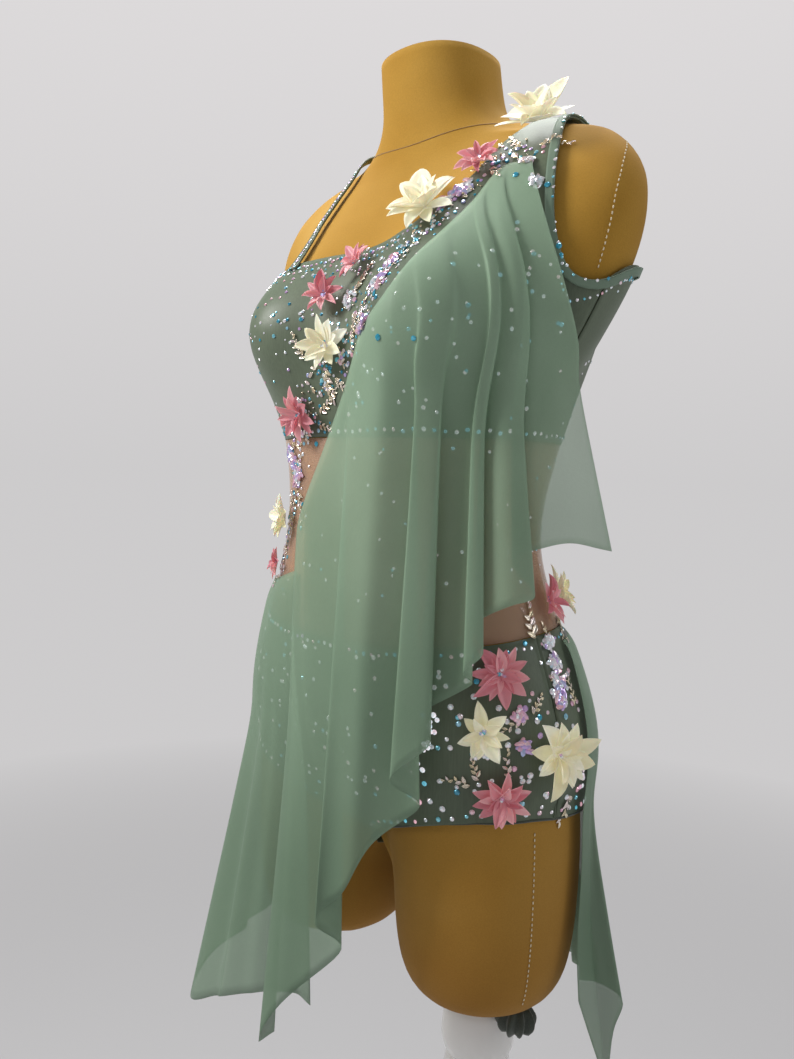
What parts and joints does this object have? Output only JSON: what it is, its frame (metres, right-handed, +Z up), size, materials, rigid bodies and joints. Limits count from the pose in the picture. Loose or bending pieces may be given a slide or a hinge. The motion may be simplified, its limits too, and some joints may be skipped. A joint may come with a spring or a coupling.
{
  "type": "dance leotard on a dress form with a stand",
  "caption": "One-shoulder dance leotard with a sheer cascading front drape, a half skirt and fabric flowers, worn by a limbless dress form on a round-based stand.",
  "frame": {"origin": "centre of the round base plate's underside, on the floor", "axes": "+Z up the dress form, -Y the way the front faces, +X towards the wearer's left"},
  "size_m": [0.4212, 0.4064, 1.438],
  "materials": {
    "mustard_cloth": "woven cover cloth, matte",
    "white_gloss": "white enamel, glossy",
    "sage_stretch": "stretch jersey with a soft sheen",
    "skin_mesh": "fine sheer stretch mesh",
    "sage_mesh": "sheer soft mesh",
    "mint_binding": "folded mesh binding",
    "cream": "satin petals",
    "pink": "satin petals"
  },
  "bodies": {
    "root": {"dress_form": "mustard_cloth", "stand_base": "white_gloss", "stand_post": "white_gloss", "bodice_front": "sage_stretch", "bodice_back": "sage_stretch", "midriff_front": "skin_mesh", "midriff_back": "skin_mesh", "brief_front": "sage_stretch", "brief_back": "sage_stretch", "brief_gusset": "sage_stretch", "strap_right": "sage_stretch", "armhole_binding": "mint_binding", "front_drape": "sage_mesh", "back_skirt": "sage_mesh", "flower_cream_01": "cream", "flower_pink_02": "pink", "flower_cream_03": "cream", "flower_pink_04": "pink", "flower_pink_05": "pink", "flower_cream_06": "cream", "flower_pink_07": "pink", "flower_cream_08": "cream", "flower_pink_09": "pink", "flower_pink_10": "pink", "flower_cream_11": "cream", "flower_cream_12": "cream", "flower_pink_13": "pink", "flower_pink_14": "pink", "flower_cream_15": "cream"}
  },
  "joints": []
}
